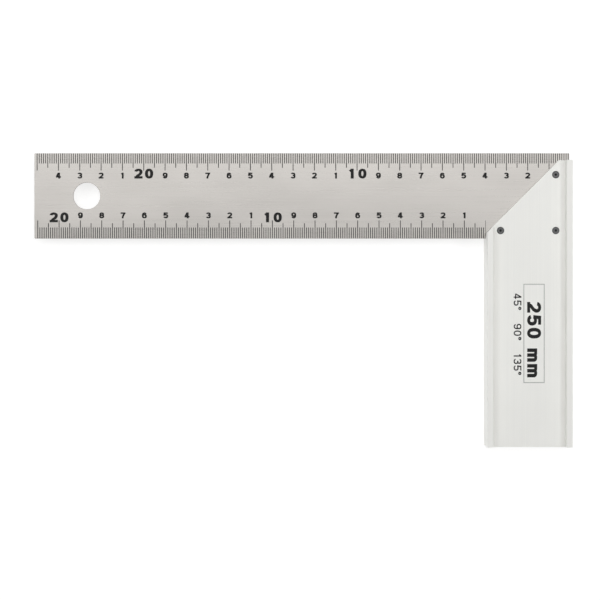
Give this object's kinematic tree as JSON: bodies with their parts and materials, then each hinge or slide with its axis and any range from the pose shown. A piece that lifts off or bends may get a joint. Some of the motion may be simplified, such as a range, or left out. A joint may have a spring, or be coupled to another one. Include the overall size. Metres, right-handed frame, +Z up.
{
  "type": "try square",
  "caption": "Try square: a thin flat blade with a hanging hole, riveted into a thick mitred stock with raised side flanges.",
  "frame": {"origin": "the square's inner corner, where the blade's inner edge meets the stock's inner face, on the plane that the stock rests on", "axes": "+X along the blade from its free end towards the stock's outer face, +Y along the stock from its free end towards the blade's outer edge, +Z up out of the face that the square lies with"},
  "size_m": [0.2513, 0.1374, 0.015],
  "materials": {
    "stainless_steel": "fine matt brushing along the blade",
    "anodised_aluminium": "satin silver anodising with faint extrusion lines along the stock",
    "rivet_steel": "dark satin steel with a punched dimple",
    "black_ink": "thin matt black print"
  },
  "bodies": {
    "root": {"blade": "stainless_steel", "stock": "anodised_aluminium", "rivet_top_outer": "rivet_steel", "rivet_lower_inner": "rivet_steel", "rivet_lower_outer": "rivet_steel"}
  },
  "joints": []
}
